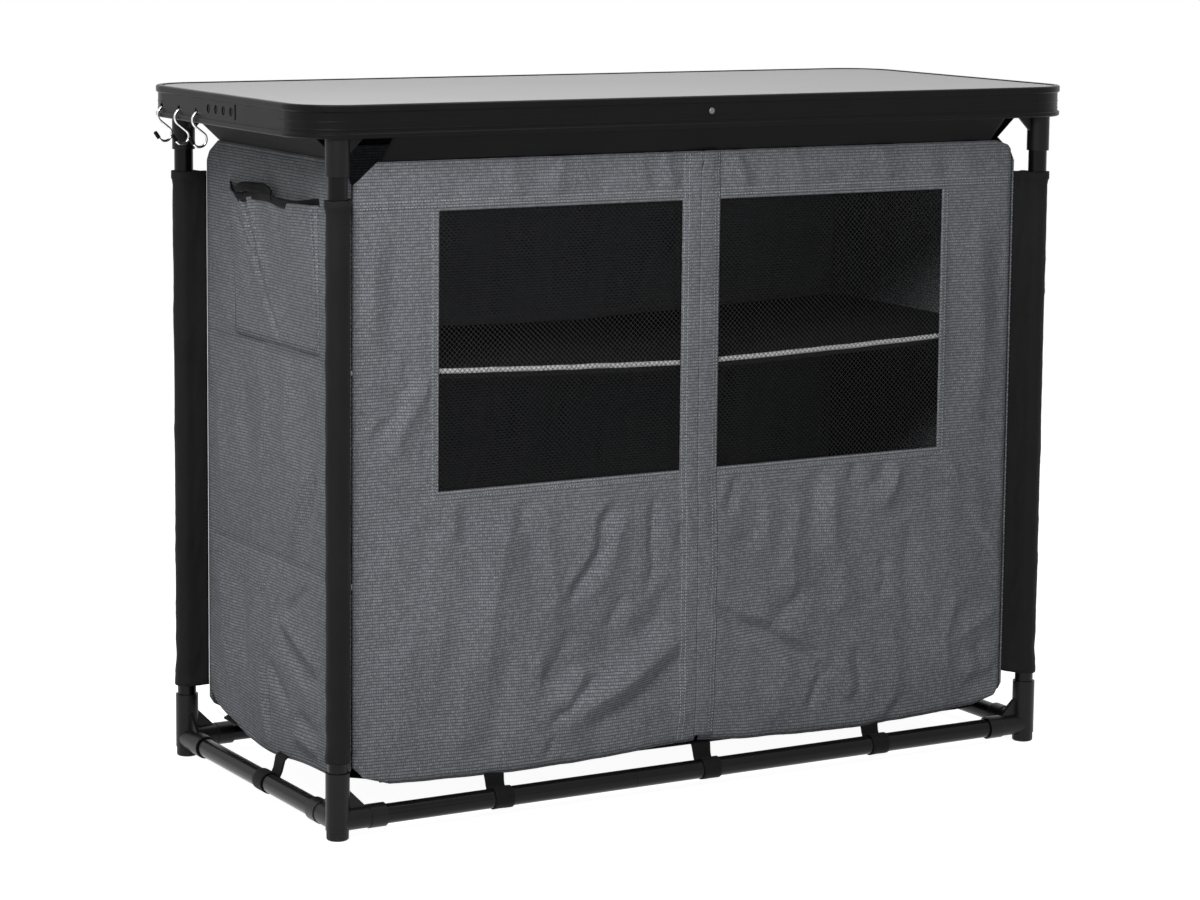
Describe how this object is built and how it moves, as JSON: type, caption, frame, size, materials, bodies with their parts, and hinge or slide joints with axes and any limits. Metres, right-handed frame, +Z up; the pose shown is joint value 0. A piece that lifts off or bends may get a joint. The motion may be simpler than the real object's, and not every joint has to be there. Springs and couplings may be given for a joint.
{
  "type": "camping cupboard",
  "caption": "Plug-together camping cupboard: a rimmed table top on tube legs, a hung cloth cabinet with net-windowed doors, a centre zip, shelves and rim hooks.",
  "frame": {"origin": "on the ground under the middle of the table top", "axes": "+Z up, -Y is the front with the doors, +X to the right seen from the front; the pocket and the hooks are on the -X side"},
  "size_m": [1.0274, 0.452, 0.8],
  "materials": {
    "rim": "satin black powder coat on an aluminium extrusion",
    "board": "light grey laminate on a fibre board",
    "frame_plastic": "satin black moulded plastic",
    "tube": "satin black painted steel tube",
    "bare_metal": "bare zinc plated steel",
    "black_cloth": "black coated polyester cloth",
    "webbing": "black woven webbing",
    "grey_cloth": "grey basket weave polyester cloth",
    "net": "black polyester net",
    "zip_plastic": "black nylon coil and tape",
    "zip_metal": "black enamelled zinc slider",
    "piping": "pale corded edging with dark flecks",
    "hook_chrome": "bright nickel plated wire",
    "hook_rubber": "black rubber sleeve"
  },
  "bodies": {
    "root": {"table_rim": "rim", "table_board": "board", "top_bracket_front_left": "frame_plastic", "top_bracket_front_right": "frame_plastic", "top_bracket_back_left": "frame_plastic", "top_bracket_back_right": "frame_plastic", "base_connector_front_left": "frame_plastic", "base_connector_front_right": "frame_plastic", "base_connector_back_left": "frame_plastic", "base_connector_back_right": "frame_plastic", "foot_caps": "frame_plastic", "leg_front_left": "tube", "leg_front_right": "tube", "leg_back_left": "tube", "leg_back_right": "tube", "front_rail_left": "tube", "front_rail_right": "tube", "back_rail_left": "tube", "back_rail_right": "tube", "left_rail": "tube", "right_rail": "tube", "table_brace": "bare_metal", "rim_rivets": "bare_metal", "bracket_screws": "bare_metal", "rail_spigots": "bare_metal", "leg_sleeve_front_left": "black_cloth", "leg_sleeve_front_right": "black_cloth", "leg_sleeve_back_left": "black_cloth", "leg_sleeve_back_right": "black_cloth", "front_valance": "black_cloth", "back_valance": "black_cloth", "left_valance": "black_cloth", "right_valance": "black_cloth", "shelf_upper": "black_cloth", "shelf_lower": "black_cloth", "floor_panel": "black_cloth", "rail_straps": "webbing", "pocket_binding": "webbing", "left_panel": "grey_cloth", "right_panel": "grey_cloth", "back_panel": "grey_cloth", "side_pocket": "grey_cloth", "shelf_pipings": "piping"},
    "door_left": {"door_left_cloth": "grey_cloth", "door_left_net": "net", "zip_coil_left": "zip_plastic"},
    "door_right": {"door_right_cloth": "grey_cloth", "door_right_net": "net", "zip_flap": "grey_cloth", "zip_coil_right": "zip_plastic"},
    "slider": {"zip_slider": "zip_metal", "zip_pull": "zip_metal"},
    "hook_1_body": {"hook_1": "hook_chrome", "hook_tip_1": "hook_rubber"},
    "hook_2_body": {"hook_2": "hook_chrome", "hook_tip_2": "hook_rubber"},
    "hook_3_body": {"hook_3": "hook_chrome", "hook_tip_3": "hook_rubber"}
  },
  "joints": [
    {"name": "door_left_hinge", "type": "hinge", "parent": "root", "child": "door_left", "pos_m": [-0.4382, -0.1908, 0.394], "axis": [0, 0, -1], "range_deg": [0, 100]},
    {"name": "door_right_hinge", "type": "hinge", "parent": "root", "child": "door_right", "pos_m": [0.4382, -0.1908, 0.394], "axis": [0, 0, 1], "range_deg": [0, 100]},
    {"name": "zip_slide", "type": "slide", "parent": "door_right", "child": "slider", "axis": [0, 0, 1], "range_m": [-0.62, 0]},
    {"name": "hook_1_swing", "type": "hinge", "parent": "root", "child": "hook_1_body", "pos_m": [-0.5069, 0.167, 0.7757], "axis": [1, 0, 0], "range_deg": [-30, 30]},
    {"name": "hook_2_swing", "type": "hinge", "parent": "root", "child": "hook_2_body", "pos_m": [-0.5069, 0.117, 0.7757], "axis": [1, 0, 0], "range_deg": [-30, 30]},
    {"name": "hook_3_swing", "type": "hinge", "parent": "root", "child": "hook_3_body", "pos_m": [-0.5069, 0.067, 0.7757], "axis": [1, 0, 0], "range_deg": [-30, 30]}
  ]
}
